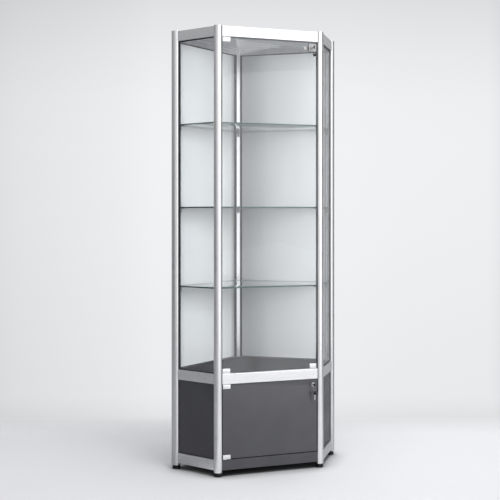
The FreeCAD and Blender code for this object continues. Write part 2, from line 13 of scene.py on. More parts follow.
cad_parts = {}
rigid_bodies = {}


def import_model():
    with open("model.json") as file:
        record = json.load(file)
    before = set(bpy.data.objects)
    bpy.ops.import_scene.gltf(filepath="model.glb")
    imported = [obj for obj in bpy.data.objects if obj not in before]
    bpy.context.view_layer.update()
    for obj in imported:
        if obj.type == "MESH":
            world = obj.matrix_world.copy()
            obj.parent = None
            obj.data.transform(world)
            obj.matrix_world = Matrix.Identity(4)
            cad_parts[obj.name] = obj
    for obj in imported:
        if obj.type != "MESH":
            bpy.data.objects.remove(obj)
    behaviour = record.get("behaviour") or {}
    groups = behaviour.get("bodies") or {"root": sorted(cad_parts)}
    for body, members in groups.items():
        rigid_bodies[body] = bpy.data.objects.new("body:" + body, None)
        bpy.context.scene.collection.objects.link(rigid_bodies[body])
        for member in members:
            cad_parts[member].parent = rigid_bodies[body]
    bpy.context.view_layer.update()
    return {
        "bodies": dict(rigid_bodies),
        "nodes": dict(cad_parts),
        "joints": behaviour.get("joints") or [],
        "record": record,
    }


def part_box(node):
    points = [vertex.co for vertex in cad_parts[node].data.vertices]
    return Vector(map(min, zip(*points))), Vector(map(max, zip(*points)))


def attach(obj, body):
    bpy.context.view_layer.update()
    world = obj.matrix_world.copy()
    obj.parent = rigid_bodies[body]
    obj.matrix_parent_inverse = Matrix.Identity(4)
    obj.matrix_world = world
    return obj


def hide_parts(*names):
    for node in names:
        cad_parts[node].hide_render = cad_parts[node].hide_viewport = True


LOG = logging.getLogger("corner_cabinet")
MM = 0.001
Colour = tuple[float, float, float]
Stops = tuple[tuple[float, float], ...]
Outline = Sequence[tuple[float, float]]
Mesh = bmesh.types.BMesh
Material = bpy.types.Material
Object = bpy.types.Object
Socket = bpy.types.NodeSocket
Rings = Sequence[Sequence[bmesh.types.BMVert]]
WHITE = (1.0, 1.0, 1.0)
FACE_TURN = (0.5, 0.86)


class Slot(Enum):
    """Material slots of the record that new pieces belong to."""

    GLASS = "glass"
    BOARD = "board"
    GASKET = "gasket"
    BLACK_PLASTIC = "black_plastic"
    BRIGHT_METAL = "bright_metal"
    KEY_BLACK = "key_black"


class Side(Enum):
    """Sides of the plan with their headings in degrees, anticlockwise from above."""

    FRONT = ("front", 0.0)
    RIGHT = ("right", 55.0)
    BACK_RIGHT = ("back_right", 145.0)
    BACK_LEFT = ("back_left", 215.0)
    LEFT = ("left", 305.0)

    def __init__(self, label: str, heading: float) -> None:
        """Keep the side's name and heading and work out its directions in plan.

        Args:
            label: the side's part of a node's name.
            heading: direction of the side.
        """
        turn = math.radians(heading)
        self.label = label
        self.heading = heading
        self.along = Vector((math.cos(turn), math.sin(turn), 0.0))
        self.inward = Vector((-math.sin(turn), math.cos(turn), 0.0))


CORNERS = ("front_left", "front_right", "side_right", "back", "side_left")
DOORS = ("glass_door", "cupboard_door")
SHELVES = ("shelf_lower", "shelf_middle", "shelf_upper")


# --- node graphs


class Graph:
    """One material's node tree, built a node at a time."""

    def __init__(self, name: str) -> None:
        """Start an empty material of that name."""
        self.material = bpy.data.materials.new(name)
        self.start("OutputMaterial", "Object")

    def start(self, output: str, place: str) -> None:
        """Empty the tree and give it an output and coordinates.

        Args:
            output: kind of the output node.
            place: name of the coordinates that patterns follow.
        """
        self.material.use_nodes = True
        self.tree = self.material.node_tree
        self.tree.nodes.clear()
        self.output = self.add(output)
        self.place = self.add("TexCoord").outputs[place]

    def add(self, kind: str, inputs: dict | None = None, **settings) -> bpy.types.Node:
        """Add a node.

        Args:
            kind: the node type without its ShaderNode prefix.
            inputs: value or source socket for each named or numbered input.
            settings: properties of the node.

        Returns:
            The new node.
        """
        node = self.tree.nodes.new("ShaderNode" + kind)
        for key, value in settings.items():
            setattr(node, key, value)
        for key, value in (inputs or {}).items():
            if isinstance(value, Socket):
                self.tree.links.new(value, node.inputs[key])
            else:
                node.inputs[key].default_value = value
        return node

    def math(self, operation: str, first: Socket, second: Socket | None = None) -> Socket:
        """Result of arithmetic on one or two sockets."""
        inputs = {0: first} if second is None else {0: first, 1: second}
        return self.add("Math", inputs, operation=operation).outputs[0]

    def dot(self, first: Socket, second: Vector) -> Socket:
        """Dot product of a socket's vector with a fixed one."""
        return self.add("VectorMath", {0: first, 1: second}, operation="DOT_PRODUCT").outputs["Value"]

    def remap(self, value: Socket, start: float, end: float, low: float = 0.0, high: float = 1.0) -> Socket:
        """Carry values from start to end over to low to high, held at both ends."""
        ends = {"Value": value, "From Min": start, "From Max": end, "To Min": low, "To Max": high}
        return self.add("MapRange", ends).outputs[0]

    def noise(self, scale: float, detail: float = 2.0) -> Socket:
        """Noise value with a number of features per metre."""
        return self.add("TexNoise", {"Vector": self.place, "Scale": scale, "Detail": detail}).outputs["Fac"]

    def grained(self, scale: Sequence[float], heading: float = 0.0, detail: float = 2.0) -> Socket:
        """Noise drawn out along axes that are turned to a heading.

        Args:
            scale: features per metre along each turned axis.
            heading: degrees from +X to the turned X axis.
            detail: octaves of the noise.

        Returns:
            The value socket.
        """
        turned = self.add("VectorRotate", {"Vector": self.place, "Angle": -math.radians(heading)},
                          rotation_type="Z_AXIS")
        drawn = self.add("Mapping", {"Vector": turned.outputs[0], "Scale": scale}).outputs[0]
        return self.add("TexNoise", {"Vector": drawn, "Scale": 1.0, "Detail": detail}).outputs["Fac"]

    def spread(self, value: Socket, low: float = 0.0, high: float = 1.0) -> Socket:
        """Stretch the middle of a noise, which stays mostly between 0.3 and 0.7, over a range."""
        return self.remap(value, 0.3, 0.7, low, high)

    def blend(self, factor: Socket | float, first: Socket | Colour, second: Socket | Colour,
              blend_type: str = "MIX") -> Socket:
        """Mix two colours.

        Args:
            factor: share of the second.
            first: colour or socket.
            second: colour or socket.
            blend_type: how they mix.

        Returns:
            The colour socket.
        """
        node = self.add("Mix", data_type="RGBA", blend_type=blend_type)
        for index, value in ((0, factor), (6, first), (7, second)):
            if isinstance(value, Socket):
                self.tree.links.new(value, node.inputs[index])
            elif index:
                node.inputs[index].default_value = (*value, 1.0)
            else:
                node.inputs[index].default_value = value
        return node.outputs[2]

    def times(self, first: Socket | Colour, second: Socket | Colour) -> Socket:
        """Product of two colours."""
        return self.blend(1.0, first, second, "MULTIPLY")

    def bump(self, height: Socket, depth: float, strength: float = 1.0) -> Socket:
        """Normal bent by a height field; depth is in metres."""
        return self.add("Bump", {"Height": height, "Distance": depth, "Strength": strength}).outputs[0]

    def ramp(self, value: Socket, stops: Stops) -> Socket:
        """Grey that follows stops along a value.

        Args:
            value: the socket that is followed.
            stops: (value, grey) pairs in rising order.

        Returns:
            The colour socket.
        """
        low, high = stops[0][0], stops[-1][0]
        node = self.add("ValToRGB", {0: self.remap(value, low, high)})
        elements = node.color_ramp.elements
        while len(elements) < len(stops):
            elements.new(0.5)
        for element, (mark, grey) in zip(elements, stops):
            element.position = (mark - low) / (high - low)
            element.color = (grey, grey, grey, 1.0)
        return node.outputs[0]

    def facing(self, direction: Vector) -> Socket:
        """Cosine between the surface and a direction of the object."""
        return self.dot(self.add("TexCoord").outputs["Normal"], direction)

    def edge_share(self, facing: Socket) -> Socket:
        """One on a pane's edges and nothing on its faces, from the cosine to its face."""
        return self.remap(self.math("ABSOLUTE", facing), *FACE_TURN, 1.0, 0.0)

    def layer(self, factor: Socket, first: Socket, second: Socket) -> Socket:
        """Surface between two others."""
        return self.add("MixShader", {0: factor, 1: first, 2: second}).outputs[0]

    def principled(self, inputs: dict) -> Socket:
        """Principled surface with these inputs."""
        return self.add("BsdfPrincipled", inputs).outputs[0]

    def finish(self, surface: Socket) -> Material:
        """Join a surface to the output and give the material back."""
        self.tree.links.new(surface, self.output.inputs["Surface"])
        return self.material


class WorldGraph(Graph):
    """A world's node tree, where places are directions."""

    def __init__(self, name: str) -> None:
        """Start an empty world of that name."""
        self.material = bpy.data.worlds.new(name)
        self.start("OutputWorld", "Generated")


# --- finishes


@dataclass(frozen=True)
class Anodised:
    """Satin anodised aluminium with a fine grain and faint die lines along the extrusion."""

    name: str
    heading: float = 0.0
    upright: bool = False
    colour: Colour = (0.80, 0.80, 0.815)
    dull: Colour = (0.74, 0.74, 0.76)
    metal: float = 0.92
    roughness: float = 0.28
    grain: float = 1400.0
    die_lines: float = 260.0
    handling: float = 7.0
    along: float = 3.0
    relief: float = 0.01 * MM

    def scale(self, across: float) -> tuple[float, float, float]:
        """Features per metre that are long along the extrusion."""
        return (across, across, self.along) if self.upright else (self.along, across, across)

    def material(self) -> Material:
        """Build the finish.

        Returns:
            The material.
        """
        g = Graph(self.name)
        grain = g.grained(self.scale(self.grain), self.heading)
        lines = g.grained(self.scale(self.die_lines), self.heading, detail=1.0)
        handled = g.spread(g.noise(self.handling, detail=3.0), -0.03, 0.04)
        rough = g.math("ADD", g.spread(grain, self.roughness - 0.05, self.roughness + 0.06), handled)
        return g.finish(g.principled({
            "Base Color": g.blend(g.spread(lines, high=0.5), self.colour, self.dull), "Metallic": self.metal,
            "Roughness": rough, "Normal": g.bump(g.math("ADD", grain, lines), self.relief, strength=0.25)}))


@dataclass(frozen=True)
class Glazing:
    """Clear toughened glass that mirrors at a slant, with a faint film and deep green polished edges."""

    name: str
    face: Vector
    passing: float = 1.0
    tint: Colour = (0.972, 0.980, 0.984)
    dust: Colour = (0.86, 0.90, 0.92)
    edge: Colour = (0.010, 0.036, 0.031)
    edge_light: Colour = (0.045, 0.110, 0.098)
    edge_rough: float = 0.12
    edge_gloss: float = 0.15
    film: float = 0.022
    index: float = 1.46
    streaks: tuple[float, float, float] = (9.0, 9.0, 0.7)
    smears: tuple[float, float, float] = (30.0, 30.0, 12.0)
    relief: float = 0.02 * MM

    def material(self) -> Material:
        """Build the finish; passing is the share of lamp and diffuse light that goes through.

        Returns:
            The material.
        """
        g = Graph(self.name)
        smears = g.grained(self.smears, detail=4.0)
        mirror = g.add("BsdfGlossy", {"Color": (*WHITE, 1.0), "Roughness": g.spread(smears, 0.004, 0.03)})
        path = g.add("LightPath").outputs
        light = g.math("MAXIMUM", path["Is Shadow Ray"], path["Is Diffuse Ray"])
        shaded = tuple(share * self.passing for share in self.tint)
        clear = g.add("BsdfTransparent", {"Color": g.blend(light, self.tint, shaded)})
        outside = g.add("NewGeometry").outputs["Backfacing"]
        fresnel = g.add("Fresnel", {"IOR": g.remap(outside, 0.0, 1.0, self.index, 1.0 / self.index)})
        pane = g.layer(fresnel.outputs[0], clear.outputs[0], mirror.outputs[0])
        dust = g.add("BsdfDiffuse", {"Color": (*self.dust, 1.0)})
        streaks = g.grained(self.streaks, detail=3.0)
        filmed = g.layer(g.spread(streaks, self.film * 0.3, self.film), pane, dust.outputs[0])
        depth = g.noise(24.0, detail=3.0)
        edge = g.principled({
            "Base Color": g.blend(g.spread(depth), self.edge, self.edge_light), "Roughness": self.edge_rough,
            "IOR": 1.5, "Specular IOR Level": self.edge_gloss,
            "Normal": g.bump(g.noise(900.0), self.relief, strength=0.4)})
        return g.finish(g.layer(g.edge_share(g.facing(self.face)), filmed, edge))


@dataclass(frozen=True)
class CoatedGlass:
    """Toughened glass with a satin white coat on its outer face, seen through the glass from inside, with
    painted shade towards the back corner.
    """

    name: str
    inner: Vector
    corner: Vector
    # painted shade: grey share of the coat at the back corner, and crease a further share in the crease
    # beside the post
    painted_corner_shade: float
    crease: float = 1.0
    crease_reach: float = 0.055
    reach: float = 0.34
    knee: float = 0.45
    pull: float = 0.8
    colour: Colour = (0.835, 0.845, 0.853)
    faded: Colour = (0.81, 0.82, 0.828)
    edge: Colour = (0.035, 0.105, 0.090)
    index: float = 1.46
    inner_rough: float = 0.05
    outer_rough: float = 0.42
    relief: float = 0.01 * MM

    def material(self) -> Material:
        """Build the finish.

        Returns:
            The material.
        """
        g = Graph(self.name)
        facing = g.facing(self.inner)
        cloud = g.noise(3.5, detail=3.0)
        colour = g.blend(g.spread(cloud), self.colour, self.faded)
        plan = g.add("VectorMath", {0: g.place, 1: (1.0, 1.0, 0.0)}, operation="MULTIPLY").outputs["Vector"]
        away = g.add("VectorMath", {0: plan, 1: self.corner}, operation="DISTANCE").outputs["Value"]
        # painted shade on the inner face: darker towards the back corner and darker still in the crease
        # beside the post
        crease_shade_grey = self.painted_corner_shade * self.crease
        halfway = (1.0 + self.painted_corner_shade * self.pull) / (1.0 + self.pull)
        shaded = g.times(colour, g.ramp(away, (
            (0.0, crease_shade_grey), (self.crease_reach * self.knee, crease_shade_grey), (self.crease_reach, self.painted_corner_shade),
            (self.reach * self.knee, halfway), (self.reach, 1.0))))
        colour = g.blend(g.remap(facing, *FACE_TURN), colour, shaded)
        return g.finish(g.principled({
            "Base Color": g.blend(g.edge_share(facing), colour, self.edge), "IOR": self.index,
            "Roughness": g.remap(facing, -0.5, 0.5, self.outer_rough, self.inner_rough),
            "Normal": g.bump(g.noise(420.0), self.relief, strength=0.2)}))


@dataclass(frozen=True)
class Melamine:
    """Melamine-faced board: a dark even colour with a fine pebbled press and slight mottle."""

    name: str
    colour: Colour = (0.053, 0.053, 0.060)
    shade: Colour = (0.047, 0.047, 0.053)
    roughness: float = 0.34
    gloss: float = 0.5
    pebble: float = 850.0
    mottle: float = 14.0
    rubbed: tuple[float, float, float] = (3.0, 3.0, 9.0)
    relief: float = 0.03 * MM

    def material(self) -> Material:
        """Build the finish.

        Returns:
            The material.
        """
        g = Graph(self.name)
        mottle = g.noise(self.mottle, detail=4.0)
        rubbed = g.grained(self.rubbed, detail=3.0)
        return g.finish(g.principled({
            "Base Color": g.blend(g.spread(mottle), self.colour, self.shade),
            "Roughness": g.spread(rubbed, self.roughness - 0.05, self.roughness + 0.06),
            "Specular IOR Level": self.gloss,
            "Normal": g.bump(g.noise(self.pebble, detail=1.0), self.relief, strength=0.25)}))


@dataclass(frozen=True)
class Rubber:
    """Extruded EPDM: black, matt and slightly dusty."""

    name: str
    colour: Colour = (0.018, 0.018, 0.019)
    bloom: Colour = (0.045, 0.045, 0.047)
    skin: float = 1800.0
    relief: float = 0.05 * MM

    def material(self) -> Material:
        """Build the finish.

        Returns:
            The material.
        """
        g = Graph(self.name)
        bloom = g.noise(60.0, detail=4.0)
        return g.finish(g.principled({
            "Base Color": g.blend(g.spread(bloom, high=0.8), self.colour, self.bloom),
            "Roughness": g.spread(bloom, 0.5, 0.68),
            "Normal": g.bump(g.noise(self.skin), self.relief, strength=0.4)}))


@dataclass(frozen=True)
class Moulded:
    """Moulded plastic with a fine spark-eroded skin."""

    name: str
    colour: Colour
    roughness: float
    gloss: float = 0.5
    skin: float = 1500.0
    relief: float = 0.04 * MM

    def material(self) -> Material:
        """Build the finish.

        Returns:
            The material.
        """
        g = Graph(self.name)
        wear = g.noise(45.0, detail=3.0)
        lighter = tuple(min(1.0, share * 1.5 + 0.01) for share in self.colour)
        return g.finish(g.principled({
            "Base Color": g.blend(g.spread(wear, high=0.6), self.colour, lighter),
            "Roughness": g.spread(wear, self.roughness - 0.04, self.roughness + 0.09),
            "Specular IOR Level": self.gloss,
            "Normal": g.bump(g.noise(self.skin, detail=1.0), self.relief, strength=0.35)}))


@dataclass(frozen=True)
class Plated:
    """Plated or bare metal with fine scratches and finger marks."""

    name: str
    colour: Colour
    roughness: float
    scratches: float = 700.0
    scratch_heading: float = 32.0
    relief: float = 0.02 * MM
    casting: float = 0.0

    def material(self) -> Material:
        """Build the finish; casting is the extra relief of an unpolished casting.

        Returns:
            The material.
        """
        g = Graph(self.name)
        lines = g.grained((self.scratches, 40.0, self.scratches), self.scratch_heading, detail=1.0)
        marks = g.noise(90.0, detail=4.0)
        marked = tuple(share * 0.82 for share in self.colour)
        rough = g.math("ADD", g.spread(lines, self.roughness - 0.03, self.roughness + 0.05),
                       g.spread(marks, high=0.07))
        grit = g.noise(1200.0) if self.casting else lines
        return g.finish(g.principled({
            "Base Color": g.blend(g.spread(marks, high=0.7), self.colour, marked), "Metallic": 1.0,
            "Roughness": rough, "Normal": g.bump(grit, self.relief + self.casting, strength=0.3)}))


@dataclass(frozen=True)
class Paper:
    """Pale studio sweep: a glow to the eye and in reflections with painted shade by height and side, a
    painted contact shadow on the floor, and see-through from behind.
    """

    name: str
    colour: Colour = (0.865, 0.868, 0.885)
    cast: Colour = (0.977, 0.985, 1.0)
    roughness: float = 0.7
    relief: float = 0.2 * MM
    floor_top: float = 0.06
    behind: float = -0.25
    contact_reach: float = 0.09
    # painted shade on the backdrop: its glow is darker towards the floor and the top (rise) and towards the
    # sides (spread)
    rise: Stops = (
        (0.0, 0.70), (0.05, 0.78), (0.15, 0.85), (0.55, 0.87), (1.04, 0.895), (1.52, 0.905),
        (1.79, 0.895), (2.04, 0.845), (2.26, 0.785), (2.40, 0.735))
    spread: Stops = (
        (-1.9, 0.70), (-1.3, 0.87), (-0.75, 0.95), (-0.54, 1.0), (0.54, 1.0), (0.81, 0.985),
        (1.30, 0.975), (1.90, 0.48))
    # painted shade in reflections: the sweep reads darker to the left and right in mirrors
    reflected_shade_left: Stops = ((-3.5, 0.50), (-0.9, 0.45), (-0.42, 0.31), (-0.2, 1.0))
    reflected_shade_right: Stops = ((0.2, 1.0), (0.45, 0.52), (0.85, 0.50), (1.40, 0.48), (2.2, 0.20))
    # painted contact shadow: the floor's colour darkens where ambient occlusion finds the cabinet close
    contact: Stops = ((0.0, 0.03), (0.35, 0.22), (0.7, 0.72), (0.95, 1.0))

    def material(self) -> Material:
        """Build the finish: a glow with painted shade by height and side, painted darker sides in mirrors,
        and a floor that takes shadows and a painted contact shadow.

        Returns:
            The material.
        """
        g = Graph(self.name)
        axes = g.add("SeparateXYZ", {0: g.place}).outputs
        path = g.add("LightPath").outputs
        # painted shade: the backdrop's glow falls off by height and towards the sides
        glow = g.times(g.times(g.ramp(axes["Z"], self.rise), g.ramp(axes["X"], self.spread)), self.cast)
        # painted shade in reflections: darker sides for glossy rays only
        right = g.blend(g.remap(axes["Y"], self.behind, 0.0), WHITE, g.ramp(axes["X"], self.reflected_shade_right))
        sides = g.times(right, g.ramp(axes["X"], self.reflected_shade_left))
        mirrored = g.blend(path["Is Glossy Ray"], WHITE, sides)
        lit = g.add("Emission", {"Color": g.times(glow, mirrored), "Strength": 1.0})
        seen = g.math("MAXIMUM", path["Is Camera Ray"], path["Is Glossy Ray"])
        seen = g.math("MAXIMUM", seen, path["Is Transmission Ray"])
        shown = g.math("MULTIPLY", seen, g.remap(axes["Z"], 0.0, self.floor_top))
        # painted contact shadow on the floor colour, under and beside the cabinet
        open_sky = g.add("AmbientOcclusion", {"Distance": self.contact_reach}, samples=8).outputs["AO"]
        contact_shaded_colour = g.times(self.colour, g.ramp(open_sky, self.contact))
        paper = g.principled({"Base Color": g.times(mirrored, contact_shaded_colour), "Roughness": self.roughness,
                              "Normal": g.bump(g.noise(300.0), self.relief, strength=0.3)})
        front = g.layer(shown, paper, lit.outputs[0])
        clear = g.add("BsdfTransparent", {"Color": (*WHITE, 1.0)})
        from_behind = g.math("MULTIPLY", g.add("NewGeometry").outputs["Backfacing"], path["Is Camera Ray"])
        return g.finish(g.layer(from_behind, front, clear.outputs[0]))


INSERT_NYLON = Moulded("insert_nylon", (0.02, 0.02, 0.021), roughness=0.5)
FOOT_NYLON = Moulded("black_nylon", (0.005, 0.005, 0.0055), roughness=0.26, gloss=0.22)
BUSH_NYLON = Moulded("natural_nylon", (0.72, 0.71, 0.67), roughness=0.42)
KEY_BLACK = Moulded("key_bow_black", (0.006, 0.006, 0.0065), roughness=0.42, gloss=0.12)
DIECAST_ZINC = Plated("diecast_zinc", (0.56, 0.56, 0.58), roughness=0.42, casting=0.04 * MM)
CLIP_NICKEL = Plated("clip_nickel", (0.20, 0.20, 0.21), roughness=0.36)
SATIN_CHROME = Plated("satin_chrome", (0.86, 0.86, 0.875), roughness=0.24)
LOCK_CHROME = Plated("lock_chrome", (0.36, 0.36, 0.37), roughness=0.30)
KEY_NICKEL = Plated("key_nickel", (0.46, 0.45, 0.44), roughness=0.24)
PANEL_BOARD = Melamine("graphite_melamine", gloss=0.3)
DOOR_BOARD = Melamine("door_melamine")
DECK_BOARD = Melamine("matt_deck_board", (0.030, 0.030, 0.034), (0.026, 0.026, 0.030), 0.5, gloss=0.012)
CEILING_BOARD = Melamine("pale_ceiling_board", (0.46, 0.465, 0.48), (0.43, 0.435, 0.45))
GASKET_RUBBER = Rubber("epdm_gasket")
# painted shadow: black strips at the front rails' gaps and joints
SHADOW_STRIP_RUBBER = Rubber("front_shadow_strip_rubber")
# darker than the gasket rubber: the wedge's own black and also painted shade beside the back post
WEDGE_AND_SHADE_RUBBER = Rubber("wedge_and_shade_rubber", (0.008, 0.008, 0.009), (0.016, 0.016, 0.017))


# --- mesh helpers


def to_piece(name: str, mesh: Mesh, sharp: float = 35.0) -> Object:
    """Turn a bmesh into an object with smooth faces and sharp corners.

    Args:
        name: the piece's name.
        mesh: its geometry, in metres in the cabinet's frame; freed here.
        sharp: angle in degrees above which an edge stays sharp.

    Returns:
        The new object.
    """
    data = bpy.data.meshes.new(name)
    bmesh.ops.recalc_face_normals(mesh, faces=mesh.faces)
    mesh.to_mesh(data)
    mesh.free()
    data.shade_smooth()
    data.set_sharp_from_angle(angle=math.radians(sharp))
    piece = bpy.data.objects.new(name, data)
    bpy.context.scene.collection.objects.link(piece)
    return piece


def welded(node: Object) -> Mesh:
    """A CAD node's geometry with its split corners joined and its flat faces whole."""
    mesh = bmesh.new()
    mesh.from_mesh(node.data)
    bmesh.ops.remove_doubles(mesh, verts=mesh.verts, dist=2e-6)
    bmesh.ops.dissolve_limit(mesh, angle_limit=math.radians(0.5), verts=mesh.verts, edges=mesh.edges)
    return mesh


def round_edges(mesh: Mesh, radius: float, segments: int = 3, corner: float = 32.0) -> None:
    """Round a mesh's corners in place.

    Args:
        mesh: the geometry.
        radius: bevel size in metres.
        segments: faces across each rounding.
        corner: angle in degrees above which an edge is rounded.
    """
    least = math.radians(corner)
    edges = [edge for edge in mesh.edges if edge.is_manifold and edge.calc_face_angle(0.0) > least]
    bmesh.ops.bevel(mesh, geom=edges, offset=radius, segments=segments, profile=0.5, affect="EDGES",
                    clamp_overlap=True)


def skin(mesh: Mesh, rings: Rings) -> None:
    """Join each ring of corners to the next one with faces."""
    for low, high in zip(rings, rings[1:]):
        for step in range(len(low)):
            after = (step + 1) % len(low)
            mesh.faces.new((low[step], low[after], high[after], high[step]))


def closed(mesh: Mesh, rings: Rings) -> Mesh:
    """Skin a run of rings, close both its ends and give the mesh back."""
    skin(mesh, rings)
    mesh.faces.new(tuple(reversed(rings[0])))
    mesh.faces.new(tuple(rings[-1]))
    return mesh


def lathe(outline: Outline, segments: int, shape: Callable[[float, float, float], float]) -> Mesh:
    """Turn an outline of (radius, height) points about Z.

    Args:
        outline: points from the bottom to the top.
        segments: steps round.
        shape: changes a radius from radius, height and angle.

    Returns:
        The turned geometry, closed at both ends.
    """
    mesh = bmesh.new()
    rings = []
    for radius, height in outline:
        ring = []
        for step in range(segments):
            angle = 2 * math.pi * step / segments
            reach = shape(radius, height, angle)
            ring.append(mesh.verts.new((reach * math.cos(angle), reach * math.sin(angle), height)))
        rings.append(ring)
    return closed(mesh, rings)


def tube(points: Sequence[Vector], radius: float, around: int = 10) -> Mesh:
    """Round wire along points.

    Args:
        points: its centre line.
        radius: the wire's radius.
        around: steps round the wire.

    Returns:
        The wire, closed at both ends.
    """
    mesh = bmesh.new()
    rings = []
    for index, point in enumerate(points):
        before = points[max(index - 1, 0)]
        after = points[min(index + 1, len(points) - 1)]
        along = (after - before).normalized()
        side = along.orthogonal() if not rings else (side - along * side.dot(along))
        side.normalize()
        other = along.cross(side)
        rings.append([mesh.verts.new(point + (side * math.cos(angle) + other * math.sin(angle)) * radius)
                      for angle in (2 * math.pi * step / around for step in range(around))])
    return closed(mesh, rings)


def plate(outline: Outline, low: float, high: float) -> Mesh:
    """Flat plate from an outline in X and Y between two heights."""
    mesh = bmesh.new()
    face = mesh.faces.new([mesh.verts.new((x, y, low)) for x, y in outline])
    lifted = bmesh.ops.extrude_face_region(mesh, geom=[face])
    risen = [item for item in lifted["geom"] if isinstance(item, bmesh.types.BMVert)]
    bmesh.ops.translate(mesh, verts=risen, vec=(0, 0, high - low))
    return mesh


def middle(node: str) -> Vector:
    """Centre of a CAD node's box."""
    low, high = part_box(node)
    return (low + high) / 2


# --- sub-assemblies


@dataclass
class SubAssembly:
    """Base of every group of pieces: what the frame holds and how a piece is fitted to it."""

    frame: dict

    def node(self, name: str) -> Object:
        """The CAD node of that name."""
        return self.frame["nodes"][name]

    def dress(self, name: str, finish: Material) -> None:
        """Give a CAD node a finish on each of its material slots."""
        for slot in self.node(name).material_slots:
            slot.material = finish
        LOG.info("%s is finished in %s", name, finish.name)

    def fit(self, piece: Object, body: str, slot: Slot, finish: Material, *nodes: str) -> None:
        """Finish a piece, let it ride on a body and let it stand for CAD nodes.

        Args:
            piece: the new object.
            body: the body that it moves with.
            slot: the record's material slot; not used.
            finish: its material.
            nodes: CAD nodes that it replaces.
        """
        piece.data.materials.append(finish)
        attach(piece, body)
        if nodes:
            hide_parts(*nodes)
        LOG.info("%s rides on %s", piece.name, body)

    def eased(self, name: str, body: str, slot: Slot, finish: Material, radius: float,
              segments: int = 3) -> None:
        """Replace a CAD node by the same form with its sharp edges eased.

        Args:
            name: the node.
            body, slot, finish: as for fit.
            radius: size of the easing in metres.
            segments: faces across each eased edge.
        """
        mesh = welded(self.node(name))
        round_edges(mesh, radius, segments)
        self.fit(to_piece(name + "_eased", mesh), body, slot, finish, name)


@dataclass
class ExtrudedFrame(SubAssembly):
    """Posts and rails of anodised extrusion, with the inserts and locks inside them."""

    levels: tuple[str, ...] = ("top", "middle", "bottom")

    def build(self) -> None:
        """Dress every post, rail, insert and tension lock."""
        upright = Anodised("anodised_post", upright=True).material()
        for corner in CORNERS:
            self.dress("post_" + corner, upright)
        for side in Side:
            grained = Anodised("anodised_rail_" + side.label, side.heading).material()
            for level in self.levels:
                name = f"{level}_rail_{side.label}"
                if name in self.frame["nodes"]:
                    self.dress(name, grained)
        self.dress("post_plugs", INSERT_NYLON.material())
        self.dress("rail_locks", DIECAST_ZINC.material())


@dataclass
class Infill(SubAssembly):
    """Glass panes, boards and the black gaskets round them."""

    # painted shade of each coated pane at the back corner and in the crease beside the post
    corner_shade: dict[Side, tuple[float, float]] = field(
        default_factory=lambda: {Side.BACK_RIGHT: (0.55, 1.0), Side.BACK_LEFT: (0.87, 0.35)})

    def build(self) -> None:
        """Dress the panes, panels, boards and gaskets; a coated pane has shares of painted shade for corner
        and crease.
        """
        board = PANEL_BOARD.material()
        corner = middle("post_back")
        corner.z = 0.0
        for side in Side:
            if side is Side.FRONT:
                continue
            pane = Glazing("pane_" + side.label, side.inward)
            if side in self.corner_shade:
                pane = CoatedGlass("pane_" + side.label, side.inward, corner, *self.corner_shade[side])
            self.dress("glass_" + side.label, pane.material())
            self.dress("panel_" + side.label, board)
        deck = DECK_BOARD.material()
        self.dress("deck_panel", deck)
        self.dress("floor_panel", deck)
        self.dress("plinth_board", board)
        self.dress("ceiling_panel", CEILING_BOARD.material())
        self.dress("gaskets", GASKET_RUBBER.material())


@dataclass
class Shelves(SubAssembly):
    """Three glass shelves with arrised edges, on their corner clips."""

    body: str = "cabinet"
    arris: float = 0.8 * MM
    clip_round: float = 0.6 * MM
    passing: float = 0.62

    def build(self) -> None:
        """Build the shelves and their clips."""
        glass = Glazing("shelf_glass", Vector((0.0, 0.0, 1.0)), self.passing).material()
        for name in SHELVES:
            self.eased(name, self.body, Slot.GLASS, glass, self.arris, 2)
        self.eased("shelf_clips", self.body, Slot.BRIGHT_METAL, CLIP_NICKEL.material(), self.clip_round, 2)


